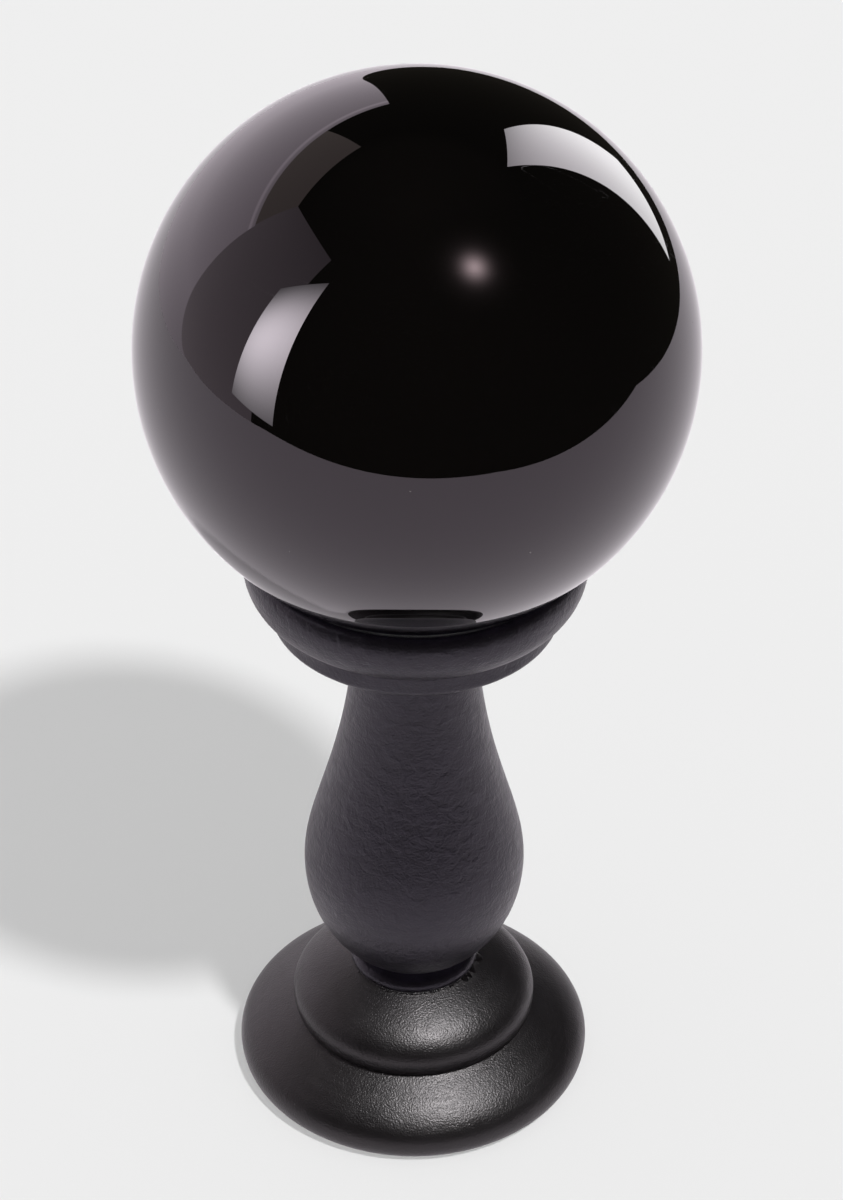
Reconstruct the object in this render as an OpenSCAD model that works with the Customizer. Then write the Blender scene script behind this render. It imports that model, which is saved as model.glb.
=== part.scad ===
// Crystal ball on a turned wooden stand.
// A solid dark glass ball lies loose on a felt ring in a shallow cup. The cup is
// screwed to a pear-shaped stem, and the stem's tenon is glued and screwed into a
// round two-tier foot that stands on a felt pad.
// The frame's origin is on the table, under the middle of the foot, with +Z up.

/* [Ball] */
// Diameter of the glass ball
ball_d = 100; // [80:1:125]

/* [Cup] */
// Outer diameter of the cup's rounded rim
cup_d = 63.7; // [58:0.1:80]
// Height of the rim's underside curve, from the crease up to the widest line
cup_under_h = 7.1; // [4:0.1:8]
// Height of the rim above its widest line
cup_lip_h = 3.3; // [2:0.1:5]
// Width of the rim's lip, outside the felt seat
cup_lip_w = 3.4; // [2.6:0.1:6]
// Gap between the ball and the top of the rim's lip
cup_lip_gap = 0.8; // [0.6:0.1:2]
// How far the thin disc under the rim lies inside the rim
cup_disc_inset = 4.9; // [3:0.1:7]
// Rounding of the disc's edges
cup_disc_round = 1.3; // [0.5:0.1:1.4]
// Thickness of the cup's floor under the bowl
cup_floor_t = 4; // [3.6:0.1:8]
// Thickness of the wood between the bowl and the crease above the disc
cup_wall = 4.2; // [2.5:0.1:6]
// Rounding at the bottom of the bowl
bowl_round = 1; // [0.5:0.1:1.5]
// Free depth between the ball and the bowl's floor
bowl_gap = 2.5; // [1.5:0.1:6]

/* [Seat] */
// Width of the felt ring that the ball lies on
felt_w = 3.6; // [2:0.1:5]
// Thickness of the felt ring
felt_t = 1; // [0.6:0.1:2]
// Clearance between the ball and the felt ring
seat_clear = 0.2; // [0.1:0.05:0.5]

/* [Stem] */
// Length of the stem that shows between the foot and the cup
stem_h = 85.8; // [62:0.1:130]
// Diameter of the belly at its widest
belly_d = 42.8; // [30:0.1:60]
// Height of the belly's widest line above the foot
belly_h = 26.3; // [18:0.1:34]
// Diameter of the slim neck under the cup
neck_d = 23; // [19:0.1:28]
// Diameter of the collar where the stem meets the cup
collar_d = 26; // [20:0.1:34]
// Height of the collar's curve
collar_h = 6; // [3:0.1:10]
// Diameter of the bead at the bottom of the stem
bead_d = 25.4; // [21:0.1:32]
// Height of the bead
bead_h = 3.1; // [2:0.1:5]
// Diameter of the groove above the bead
groove_d = 19.6; // [16:0.1:20]

/* [Foot] */
// Diameter of the foot
foot_d = 69.8; // [64:0.1:100]
// Height of the foot's wood
foot_h = 23.2; // [21:0.1:40]
// Height of the foot's widest line
foot_edge_h = 2.8; // [1.5:0.1:5]
// Rounding of the foot's lower edge, measured inwards
foot_edge_round = 1.9; // [1:0.1:2.4]
// Height of the crease between the two tiers
crease_h = 12.1; // [8:0.1:15]
// Diameter of the upper tier
tier_d = 48.2; // [38:0.1:58]
// Height of the upper tier's widest line above the crease
tier_edge_h = 2.7; // [1:0.1:4]
// Undercut of the upper tier at the crease
tier_undercut = 0.7; // [0.3:0.1:2]

/* [Joinery] */
// Diameter of the stem's tenon
tenon_d = 12; // [10:0.1:16]
// Length of the stem's tenon
tenon_h = 9; // [6:0.1:10]
// Chamfer at the end of the tenon
tenon_chamfer = 0.6; // [0.3:0.1:1]
// Glue clearance round the tenon
glue_gap = 0.1; // [0.05:0.05:0.3]
// Space left beyond the end of a tenon or a screw
end_gap = 0.4; // [0.2:0.1:1]
// Diameter of the counterbore under the foot
counterbore_d = 11; // [9:0.1:14]
// Depth of the counterbore under the foot
counterbore_h = 7; // [4:0.1:8]
// Outer diameter of the wood screws' thread
screw_d = 4; // [3:0.1:5]
// Core of the wood screws' thread
screw_core_d = 2.8; // [2:0.1:2.9]
// Diameter of the screws' countersunk heads
screw_head_d = 8; // [6:0.1:9]
// Clearance round a screw where it passes freely through wood
screw_clear = 0.2; // [0.1:0.05:0.5]
// Pitch of the screws' thread
thread_pitch = 1.8; // [1:0.1:2.5]
// Length of the cup's screw
cup_screw_len = 25; // [16:1:40]
// Length of the foot's screw
foot_screw_len = 30; // [22:1:40]

/* [Foot pad] */
// Diameter of the felt pad under the foot
pad_d = 58; // [40:1:60]
// Thickness of the felt pad
pad_t = 1.6; // [1:0.1:3]
// How far the pad stands out below the foot
pad_proud = 0.5; // [0.3:0.1:0.9]
// Clearance round the pad in its recess
pad_clear = 0.3; // [0.1:0.1:1]

/* [Hidden] */

$fn = 96;
steps = 10;                 // straight pieces in one curve of a turned outline
far = 300;                  // reach of a cutter past the wood
head_rim = 0.4;             // straight edge round a screw's head
drive_w = 1.1;              // width of the screwdriver cross
drive_span = 4.6;           // span of the screwdriver cross at the head's face
drive_h = 1.7;              // depth of the screwdriver cross

// Heights of the levels above the table.
foot_z = pad_proud;
stem_z = foot_z + foot_h;
cup_z = stem_z + stem_h;
floor_z = cup_z + cup_floor_t;
ball_r = ball_d / 2;
ball_z = floor_z + bowl_gap + ball_r;

// Seat: a coned band whose middle touches a sphere of ball, clearance and felt.
seat_reach = ball_r + seat_clear + felt_t;
seat_out_r = cup_d / 2 - cup_lip_w;
seat_angle = asin(seat_out_r / norm([seat_reach, felt_w / 2])) - atan(felt_w / 2 / seat_reach);
seat_across = [sin(seat_angle), -cos(seat_angle)];      // from the ball's centre to the band
seat_along = [cos(seat_angle), sin(seat_angle)];        // up the band, outwards
seat_mid = [0, ball_z] + seat_reach * seat_across;
seat_top = seat_mid + felt_w / 2 * seat_along;
seat_foot = seat_mid - felt_w / 2 * seat_along;

// Rim: its lip's top stands a set gap away from the ball.
lip_r = cup_d / 2 - cup_lip_w / 2;
lip_z = ball_z - sqrt(pow(ball_r + cup_lip_gap, 2) - pow(lip_r, 2));
rim_z = lip_z - cup_lip_h;                              // the rim's widest line
disc_top_z = rim_z - cup_under_h;                       // the crease between disc and rim

// Bowl: a straight-sided well up to the crease, then a slope out to the seat.
disc_r = cup_d / 2 - cup_disc_inset;
bowl_r = disc_r - cup_disc_round - cup_wall;
bowl_side_z = max(disc_top_z, floor_z + bowl_round);

// Screws: both heads lie flush with the wood that they hold.
head_h = head_rim + (screw_head_d - screw_d) / 2;
foot_screw_z = foot_z + counterbore_h;

// Points of an ellipse's arc about the centre c, from angle a to angle b.
function arc(c, rx, rz, a, b) =
    [for (i = [0 : steps]) let (t = a + (b - a) * i / steps) c + [rx * cos(t), rz * sin(t)]];

// Points of a curve that runs from p to r and is pulled towards q.
function bend(p, q, r) =
    [for (i = [0 : steps]) let (t = i / steps) pow(1 - t, 2) * p + 2 * t * (1 - t) * q + t * t * r];

// Points of a curve that leaves p towards q and comes to s from r.
function swell(p, q, r, s) =
    [for (i = [0 : 2 * steps])
        let (t = i / steps / 2)
        pow(1 - t, 3) * p + 3 * t * pow(1 - t, 2) * q + 3 * t * t * (1 - t) * r + pow(t, 3) * s];

// A curve without its first point, to follow on from the curve before it.
function after(points) = [for (i = [1 : len(points) - 1]) points[i]];

// A solid of revolution from an outline of radius and height.
module turned(outline) {
    rotate_extrude() polygon(outline);
}

// The solid glass ball.
module ball() {
    color("#141114") translate([0, 0, ball_z]) sphere(d = ball_d);
}

// The cup: a thin disc, a crease, and a thick rounded rim with a bowl and a coned seat inside.
module cup() {
    rounding = cup_disc_round;
    color("#2b292d") difference() {
        turned(concat(
            [[0, cup_z]],
            arc([disc_r - rounding, cup_z + rounding], rounding, rounding, -90, 0),
            arc([disc_r - rounding, disc_top_z - rounding], rounding, rounding, 0, 90),
            arc([disc_r, rim_z], cup_disc_inset, cup_under_h, -90, 0),
            after(arc([lip_r, rim_z], cup_lip_w / 2, cup_lip_h, 0, 90)),
            after(bend([lip_r, lip_z], [seat_top[0], lip_z], seat_top)),
            [seat_foot, [bowl_r, bowl_side_z + bowl_round]],
            arc([bowl_r - bowl_round, floor_z + bowl_round], bowl_round, bowl_round, 0, -90),
            [[0, floor_z]]));
        translate([0, 0, floor_z - head_h]) screw_hole();
    }
}

// The felt ring glued on the cup's coned seat.
module seat_ring() {
    lift = -felt_t * seat_across;
    color("#1c1b1e") turned([seat_foot, seat_top, seat_top + lift, seat_foot + lift]);
}

// A free hole with a countersink for a screw's head, whose neck is at z = 0 and mouth above.
module screw_hole() {
    mouth_d = screw_head_d + 2 * screw_clear;
    cone_h = (mouth_d - screw_d) / 2;
    translate([0, 0, -far]) cylinder(d = screw_d + 2 * screw_clear, h = 2 * far);
    cylinder(d1 = screw_d, d2 = mouth_d, h = cone_h);
    translate([0, 0, cone_h]) cylinder(d = mouth_d, h = far);
}

// A countersunk wood screw that points down, with the face of its head at z = 0.
module wood_screw(len) {
    core_r = screw_core_d / 2;
    tip_h = screw_d;
    turns = floor((len - head_h - tip_h) / thread_pitch) - 1;
    thread_z = tip_h - len + turns * thread_pitch;
    ridges = [for (i = [0 : turns - 1])
                let (z = thread_z - i * thread_pitch)
                each [[core_r, z], [screw_d / 2, z - 0.5 * thread_pitch], [core_r, z - 0.9 * thread_pitch]]];
    difference() {
        turned(concat(
            [[0, 0], [screw_head_d / 2, 0], [screw_head_d / 2, -head_rim]],
            [[core_r, -head_rim - screw_head_d / 2 + core_r]],
            ridges,
            [[core_r, tip_h - len], [0, -len]]));
        for (turn = [0, 90])
            rotate([0, 0, turn]) translate([0, drive_w / 2, -drive_h]) rotate([90, 0, 0])
                linear_extrude(drive_w) drive_slot();
    }
}

// Side view of one slot of the screwdriver cross, with its floor at y = 0.
module drive_slot() {
    polygon([[-drive_w / 2, 0], [drive_w / 2, 0],
             [drive_span / 2, drive_h], [drive_span / 2, 2 * drive_h],
             [-drive_span / 2, 2 * drive_h], [-drive_span / 2, drive_h]]);
}

// The screw through the cup's floor into the top of the stem.
module cup_screw() {
    color("#b9b6ae") translate([0, 0, floor_z]) wood_screw(cup_screw_len);
}

// The stem: tenon, bead, groove, pear-shaped belly, slim neck and a small collar.
module stem() {
    tenon = [tenon_d / 2, stem_z - tenon_h];
    groove = [groove_d / 2, stem_z + bead_h + 0.5];
    belly = [belly_d / 2, stem_z + belly_h];
    neck = [neck_d / 2, cup_z - collar_h];
    rise = neck[1] - belly[1];
    waist = belly[0] - neck[0];
    color("#2e2c30") difference() {
        turned(concat(
            [[0, tenon[1]], [tenon[0] - tenon_chamfer, tenon[1]]],
            [[tenon[0], tenon[1] + tenon_chamfer], [tenon[0], stem_z]],
            arc([(bead_d - bead_h) / 2, stem_z + bead_h / 2], bead_h / 2, bead_h / 2, -90, 90),
            bend(groove, [belly[0], stem_z + 0.455 * belly_h], belly),
            after(swell(belly, belly + [0, 0.22 * rise], [neck[0] + 0.19 * waist, belly[1] + 0.42 * rise], neck)),
            after(bend(neck, [neck[0] - 0.3, cup_z - 0.25 * collar_h], [collar_d / 2, cup_z])),
            [[0, cup_z]]));
        translate([0, 0, floor_z - cup_screw_len - end_gap]) cylinder(d = screw_core_d, h = far);
        translate([0, 0, foot_screw_z + foot_screw_len + end_gap - far]) cylinder(d = screw_core_d, h = far);
    }
}

// The foot: a broad lower tier with a rounded edge under a domed upper tier.
module foot() {
    edge = [foot_d / 2, foot_z + foot_edge_h];
    crease = [tier_d / 2 - tier_undercut, foot_z + crease_h];
    tier = [tier_d / 2, crease[1] + tier_edge_h];
    top = [bead_d / 2 - 0.8, stem_z];
    lower = edge - crease;
    upper = tier - top;
    color("#2b2a2d") difference() {
        turned(concat(
            [[0, foot_z]],
            arc([edge[0] - foot_edge_round, edge[1]], foot_edge_round, foot_edge_h, -90, 0),
            after(swell(edge, edge - [0, 0.45 * lower[1]], crease + [0.48 * lower[0], 0.28 * lower[1]], crease)),
            after(arc([crease[0], tier[1]], tier_undercut, tier_edge_h, -90, 0)),
            after(swell(tier, tier - [0, 0.52 * upper[1]], top + [0.42 * upper[0], 0.2 * upper[1]], top)),
            [[0, stem_z]]));
        translate([0, 0, stem_z - tenon_h - end_gap]) cylinder(d = tenon_d + 2 * glue_gap, h = far);
        translate([0, 0, foot_screw_z + head_h]) mirror([0, 0, 1]) screw_hole();
        translate([0, 0, foot_screw_z - far]) cylinder(d = counterbore_d, h = far);
        translate([0, 0, pad_t - far]) cylinder(d = pad_d + 2 * pad_clear, h = far);
    }
}

// The screw up through the foot into the stem.
module foot_screw() {
    color("#b9b6ae") translate([0, 0, foot_screw_z]) mirror([0, 0, 1]) wood_screw(foot_screw_len);
}

// The felt pad glued into the recess under the foot.
module foot_pad() {
    color("#242326") cylinder(d = pad_d, h = pad_t);
}

ball();
cup();
seat_ring();
cup_screw();
stem();
foot();
foot_screw();
foot_pad();
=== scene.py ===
"""Looks of a dark glass ball on a turned, black lacquered wooden stand.

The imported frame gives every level: the table is z = 0 and the stand turns about the Z axis.
Sizes held by the classes are in millimetres, and meshes are made in metres.
"""

from __future__ import annotations

import logging
import math
from dataclasses import dataclass
from enum import Enum
from typing import Iterable

import bpy  # noqa: E402
import numpy as np  # noqa: E402
from mathutils import Matrix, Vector  # noqa: E402

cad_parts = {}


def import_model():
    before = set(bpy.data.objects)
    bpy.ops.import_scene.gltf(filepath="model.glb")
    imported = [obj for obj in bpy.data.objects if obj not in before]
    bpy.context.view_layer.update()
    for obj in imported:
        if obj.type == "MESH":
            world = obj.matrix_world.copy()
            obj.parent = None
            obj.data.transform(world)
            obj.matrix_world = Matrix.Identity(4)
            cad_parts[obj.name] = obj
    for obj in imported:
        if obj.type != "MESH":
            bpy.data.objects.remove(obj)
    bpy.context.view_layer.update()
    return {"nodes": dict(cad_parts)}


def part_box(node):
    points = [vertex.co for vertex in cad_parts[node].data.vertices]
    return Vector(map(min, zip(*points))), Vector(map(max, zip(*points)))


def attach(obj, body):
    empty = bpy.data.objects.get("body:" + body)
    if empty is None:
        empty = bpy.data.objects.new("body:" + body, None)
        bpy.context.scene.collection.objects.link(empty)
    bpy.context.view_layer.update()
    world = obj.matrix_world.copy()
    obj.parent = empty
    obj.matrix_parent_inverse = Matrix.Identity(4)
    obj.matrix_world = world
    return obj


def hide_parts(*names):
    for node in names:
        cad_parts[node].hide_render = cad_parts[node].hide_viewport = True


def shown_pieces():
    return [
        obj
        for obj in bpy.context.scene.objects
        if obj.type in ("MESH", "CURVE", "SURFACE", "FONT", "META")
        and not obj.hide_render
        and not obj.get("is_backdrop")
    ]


Array = np.ndarray
Colour = tuple[float, float, float, float]
Socket = bpy.types.NodeSocket

MM = 0.001
LOG = logging.getLogger("crystal_ball")


class Body(Enum):
    """The CAD bodies that pieces ride on."""

    STAND = "stand"
    BALL = "ball"


class Slot(Enum):
    """The record's material slots."""

    GLASS = "smoky_glass"
    PAINT = "black_painted_wood"
    FELT = "black_felt"
    ZINC = "zinc_steel"


class Seen(Enum):
    """Which light rays a studio object shows itself to."""

    EYE = "eye"
    GLOSS = "gloss"
    ALL_BUT_GLOSS = "all but gloss"


# ---------------------------------------------------------------- outlines


def arc(centre: Iterable[float], across: float, up: float, start: float, end: float,
        count: int = 24) -> Array:
    """Walk an ellipse: radius + across * cos(angle), height + up * sin(angle).

    Args:
        centre: radius and height of the ellipse's centre, in mm.
        across: half width of the ellipse, in mm.
        up: half height of the ellipse, in mm.
        start: first angle, in degrees.
        end: last angle, in degrees.
        count: number of points.

    Returns:
        Points of radius and height, one row each.
    """
    angle = np.radians(np.linspace(start, end, count))
    return np.array(centre) + np.stack([across * np.cos(angle), up * np.sin(angle)], axis=1)


def curve(*pulls: Iterable[float], count: int = 24) -> Array:
    """Walk a Bezier curve through its first and last point, pulled by those between.

    The point at t is the sum over k of C(n, k) * (1 - t)^(n - k) * t^k * pull k.

    Args:
        pulls: control points of radius and height, in mm.
        count: number of points.

    Returns:
        Points of radius and height, one row each.
    """
    t = np.linspace(0.0, 1.0, count)[:, None]
    order = len(pulls) - 1
    weights = [math.comb(order, k) * (1 - t) ** (order - k) * t**k for k in range(order + 1)]
    return sum(weight * np.array(pull, float) for weight, pull in zip(weights, pulls))


def soften(outline: Array, reach: float, closed: bool, turn: float = 0.35) -> Array:
    """Round each corner with a quadratic curve that starts and ends a set reach from it.

    Args:
        outline: points of radius and height, in mm.
        reach: longest distance from the corner at which its rounding starts, in mm.
        closed: whether the last point joins the first.
        turn: smallest change of direction that counts as a corner, in radians.

    Returns:
        The outline with five points in place of each corner.
    """
    back, ahead = np.roll(outline, 1, axis=0) - outline, np.roll(outline, -1, axis=0) - outline
    back_length, ahead_length = np.linalg.norm(back, axis=1), np.linalg.norm(ahead, axis=1)
    cut = np.minimum(reach, 0.45 * np.minimum(back_length, ahead_length))
    cosine = -(back * ahead).sum(axis=1) / np.maximum(back_length * ahead_length, 1e-9)
    corner = np.arccos(np.clip(cosine, -1, 1)) > turn
    if not closed:
        corner[[0, -1]] = False
    t = np.linspace(0.0, 1.0, 5)[None, :, None]
    middle = outline[:, None, :]
    start = middle + (back / back_length[:, None] * cut[:, None])[:, None, :]
    end = middle + (ahead / ahead_length[:, None] * cut[:, None])[:, None, :]
    rounded = start * (1 - t) ** 2 + middle * 2 * t * (1 - t) + end * t**2
    kept = np.repeat(corner[:, None], 5, axis=1)
    rounded[~corner, 2], kept[~corner, 2] = outline[~corner], True
    return rounded[kept]


def refine(outline: Array, step: float, closed: bool) -> Array:
    """Divide each straight run so that no piece of it is longer than a step.

    Args:
        outline: points of radius and height, in mm.
        step: longest piece, in mm.
        closed: whether the last point joins the first.

    Returns:
        The outline with the points between its corners.
    """
    points = np.vstack([outline, outline[:1]]) if closed else outline
    length = np.linalg.norm(np.diff(points, axis=0), axis=1)
    points = np.vstack([points[:1], points[1:][length > 1e-6]])
    length = length[length > 1e-6]
    walked = np.concatenate([[0.0], np.cumsum(length)])
    pieces = np.maximum(np.ceil(length / step).astype(int), 1)
    first = np.repeat(walked[:-1], pieces)
    share = np.arange(pieces.sum()) - np.repeat(np.cumsum(pieces) - pieces, pieces)
    stops = first + share * np.repeat(length / pieces, pieces)
    if not closed:
        stops = np.append(stops, walked[-1])
    return np.stack([np.interp(stops, walked, points[:, k]) for k in (0, 1)], axis=1)


# ---------------------------------------------------------------- surfaces


@dataclass
class Surface:
    """Points and faces of one piece, with the lay of its turning marks."""

    points: Array
    faces: list[list[int]]
    lay: Array

    def mesh(self, name: str, crease: float = 50.0) -> bpy.types.Mesh:
        """Put the surface into a smooth mesh, in metres.

        Args:
            name: name of the mesh.
            crease: edges sharper than this stay sharp, in degrees.

        Returns:
            The new mesh.
        """
        made = bpy.data.meshes.new(name)
        made.from_pydata((self.points * MM).tolist(), [], self.faces)
        made.attributes.new("lay", "FLOAT_VECTOR", "POINT").data.foreach_set(
            "vector", (self.lay * MM).astype(np.float32).ravel())
        made.shade_smooth()
        made.set_sharp_from_angle(angle=math.radians(crease))
        made.validate()
        return made


def grid_faces(rings: int, segments: int, ring_closed: bool) -> Array:
    """Number the four-sided faces of a grid whose rows are rings round the axis.

    Args:
        rings: number of rings.
        segments: points in one ring.
        ring_closed: whether the last ring joins the first.

    Returns:
        Four point numbers a row, turned so that faces point outwards.
    """
    i = np.arange(rings if ring_closed else rings - 1)[:, None]
    j = np.arange(segments)[None, :]
    above, beside = (i + 1) % rings, (j + 1) % segments
    corners = (i * segments + j, i * segments + beside, above * segments + beside,
               above * segments + j)
    return np.stack([np.broadcast_to(c, (len(i), segments)) for c in corners], axis=2).reshape(-1, 4)


def smooth_noise(shape: tuple[int, int], passes: int, seed: int) -> Array:
    """Average random numbers with their neighbours, which wraps in both directions.

    Args:
        shape: rows and columns.
        passes: number of times that neighbours are averaged.
        seed: start of the random numbers.

    Returns:
        Numbers with a mean of 0 and a spread of 1.
    """
    rough = np.random.default_rng(seed).normal(size=shape)
    for _ in range(passes):
        rough = (2 * rough + np.roll(rough, 1, 0) + np.roll(rough, -1, 0)
                 + np.roll(rough, 1, 1) + np.roll(rough, -1, 1)) / 6
    return (rough - rough.mean()) / rough.std()


@dataclass(frozen=True)
class Unevenness:
    """How far a turned surface strays from true: a hand-sanded wander and a fine fuzz."""

    wander: float = 0.0
    fuzz: float = 0.0
    seed: int = 1

    def radial(self, angle: Array, along: Array) -> Array:
        """Sum four slow waves whose phase creeps along the outline, plus the fuzz.

        Args:
            angle: angle round the axis, one column for each segment.
            along: distance walked along the outline in mm, one row for each ring.

        Returns:
            Distance outwards in mm, for each ring and segment.
        """
        rng = np.random.default_rng(self.seed)
        waves = zip((2, 3, 5, 7), (0.45, 0.3, 0.15, 0.1), rng.uniform(0, 2 * np.pi, 4),
                    rng.uniform(9.0, 26.0, 4))
        slow = sum(share * np.sin(count * angle + phase + along / creep)
                   for count, share, phase, creep in waves)
        fine = 0.0
        if self.fuzz:
            fine = self.fuzz * smooth_noise(np.broadcast(angle, along).shape, 2, self.seed)
        return self.wander * slow + fine


LAY_RADIUS = 3.0     # turning marks are drawn out round the axis by radius / this, in mm


def turned(outline: Array, segments: int, closed: bool, uneven: Unevenness) -> Surface:
    """Carry an outline once round the Z axis.

    x = (r + stray) * cos(angle), y = (r + stray) * sin(angle), z = height. An open outline starts
    and ends on the axis, and each end becomes one point with a fan of triangles.

    Args:
        outline: points of radius and height in mm, going up the outside.
        segments: points round the axis.
        closed: whether the outline is a loop, round a hole on the axis.
        uneven: how the surface strays from true.

    Returns:
        A closed surface whose faces point outwards.
    """
    rings = outline if closed else outline[1:-1]
    angle = np.linspace(-np.pi, np.pi, segments, endpoint=False)[None, :]
    walked = np.cumsum(np.linalg.norm(np.diff(rings, axis=0, prepend=rings[:1]), axis=1))[:, None]
    radius = rings[:, :1]
    fade = np.clip(radius / 8.0, 0.0, 1.0)
    out = radius + fade * uneven.radial(angle, walked)
    height = np.broadcast_to(rings[:, 1:], out.shape)
    points = np.stack([out * np.cos(angle), out * np.sin(angle), height], axis=2).reshape(-1, 3)
    marks = LAY_RADIUS * np.minimum(radius / LAY_RADIUS, 1.0)
    lay = np.stack([marks * np.cos(angle), marks * np.sin(angle),
                    np.broadcast_to(walked, out.shape)], axis=2).reshape(-1, 3)
    faces = grid_faces(len(rings), segments, closed).tolist()
    if not closed:
        j = np.arange(segments)
        beside, top = (j + 1) % segments, (len(rings) - 1) * segments
        low, high = len(points), len(points) + 1
        points = np.vstack([points, [[0, 0, outline[0, 1]], [0, 0, outline[-1, 1]]]])
        lay = np.vstack([lay, [[0, 0, 0], [0, 0, walked[-1, 0]]]])
        faces += np.stack([np.full(segments, low), beside, j], axis=1).tolist()
        faces += np.stack([top + j, top + beside, np.full(segments, high)], axis=1).tolist()
    return Surface(points, faces, lay)


# ---------------------------------------------------------------- materials


def linear(colour: str) -> Colour:
    """Turn an sRGB hex colour into a linear one.

    Args:
        colour: such as "#1a2b3c".

    Returns:
        Linear red, green and blue, and a full alpha.
    """
    srgb = np.array([int(colour[k:k + 2], 16) for k in (1, 3, 5)]) / 255
    light = np.where(srgb <= 0.04045, srgb / 12.92, ((srgb + 0.055) / 1.055) ** 2.4)
    return (*light.tolist(), 1.0)


def per_mm(size: float) -> float:
    """Give the texture scale at which one feature is this many millimetres."""
    return 1.0 / (size * MM)


def node(tree: bpy.types.NodeTree, kind: str, inputs: dict | None = None,
         **settings: object) -> bpy.types.Node:
    """Add a node, with its settings, its input values and the links into it.

    Args:
        tree: the node tree that it joins.
        kind: the node's type.
        inputs: a value, or a socket to link from, for each input by name or number.
        settings: the node's own properties.

    Returns:
        The new node.
    """
    made = tree.nodes.new(kind)
    for name, value in settings.items():
        setattr(made, name, value)
    for name, value in (inputs or {}).items():
        if isinstance(value, Socket):
            tree.links.new(value, made.inputs[name])
        else:
            made.inputs[name].default_value = value
    return made


def blank_material(name: str) -> tuple[bpy.types.Material, bpy.types.NodeTree]:
    """Make a material without nodes.

    Args:
        name: its name.

    Returns:
        The material and its node tree.
    """
    made = bpy.data.materials.new(name)
    made.use_nodes = True
    made.node_tree.nodes.clear()
    return made, made.node_tree


@dataclass(frozen=True)
class Finish:
    """What every finish has: a name, and a shader that its nodes are linked to."""

    name: str

    def material(self) -> bpy.types.Material:
        """Make the material.

        Returns:
            A material whose surface is one Principled shader with this finish's nodes.
        """
        made, tree = blank_material(self.name)
        place = node(tree, "ShaderNodeTexCoord").outputs["Object"]
        shader = node(tree, "ShaderNodeBsdfPrincipled", self.dress(tree, place))
        node(tree, "ShaderNodeOutputMaterial", {"Surface": shader.outputs[0]})
        return made

    def dress(self, tree: bpy.types.NodeTree, place: Socket) -> dict:
        """Add this finish's nodes.

        Args:
            tree: the material's node tree.
            place: the Object coordinates.

        Returns:
            A value, or a socket to link from, for each input of the shader.
        """
        raise NotImplementedError


@dataclass(frozen=True)
class SmokyGlass(Finish):
    """Lead crystal glass, cast nearly black and polished.

    It gives the eye mirror-clear reflections with a faint violet cast, a few specks of dust and
    the soft smears of handling. The body is too dark to see through.
    """

    colour: str = "#020202"
    cast: str = "#fff3fd"
    dust: str = "#6d6a68"
    ior: float = 1.6
    clear: float = 0.004
    smeared: float = 0.035
    smear_mm: float = 16.0
    speck_mm: float = 7.0        # spacing of the dust
    speck_size: float = 0.022    # radius of a speck, as a share of the spacing
    speck_share: float = 0.55    # cells whose random number is above this hold a speck
    hairline_mm: float = 9.0
    hairline_wide: float = 0.0012

    def dress(self, tree: bpy.types.NodeTree, place: Socket) -> dict:
        """Add this finish's nodes, and give the shader's inputs."""
        smear = node(tree, "ShaderNodeTexNoise",
                     {"Vector": place, "Scale": per_mm(self.smear_mm), "Detail": 4.0,
                      "Roughness": 0.6, "Distortion": 0.8})
        smeared = node(tree, "ShaderNodeMapRange",
                       {"Value": smear.outputs[0], "From Min": 0.5, "From Max": 0.78,
                        "To Min": self.clear, "To Max": self.smeared})
        cells = node(tree, "ShaderNodeTexVoronoi",
                     {"Vector": place, "Scale": per_mm(self.speck_mm)})
        near = node(tree, "ShaderNodeMath", {0: cells.outputs["Distance"], 1: self.speck_size},
                    operation="LESS_THAN")
        chance = node(tree, "ShaderNodeSeparateColor", {"Color": cells.outputs["Color"]})
        chosen = node(tree, "ShaderNodeMath", {0: chance.outputs[0], 1: self.speck_share},
                      operation="GREATER_THAN")
        speck = node(tree, "ShaderNodeMath", {0: near.outputs[0], 1: chosen.outputs[0]},
                     operation="MULTIPLY")
        drawn = node(tree, "ShaderNodeMapping",
                     {"Vector": place, "Rotation": (0.3, 0.5, 0.7), "Scale": (0.12, 1.0, 1.0)})
        hair = node(tree, "ShaderNodeTexNoise",
                    {"Vector": drawn.outputs[0], "Scale": per_mm(self.hairline_mm),
                     "Detail": 1.0, "Roughness": 0.5})
        off = node(tree, "ShaderNodeMath", {0: hair.outputs[0], 1: 0.62, 2: self.hairline_wide},
                   operation="COMPARE")
        colour = node(tree, "ShaderNodeMix",
                      {0: speck.outputs[0], 6: linear(self.colour), 7: linear(self.dust)},
                      data_type="RGBA")
        rough = node(tree, "ShaderNodeMath", {0: off.outputs[0], 1: 0.12, 2: smeared.outputs[0]},
                     operation="MULTIPLY_ADD")
        rougher = node(tree, "ShaderNodeMath", {0: speck.outputs[0], 1: 0.5, 2: rough.outputs[0]},
                       operation="MULTIPLY_ADD")
        return {"IOR": self.ior, "Specular Tint": linear(self.cast),
                "Base Color": colour.outputs[2], "Roughness": rougher.outputs[0]}


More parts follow.
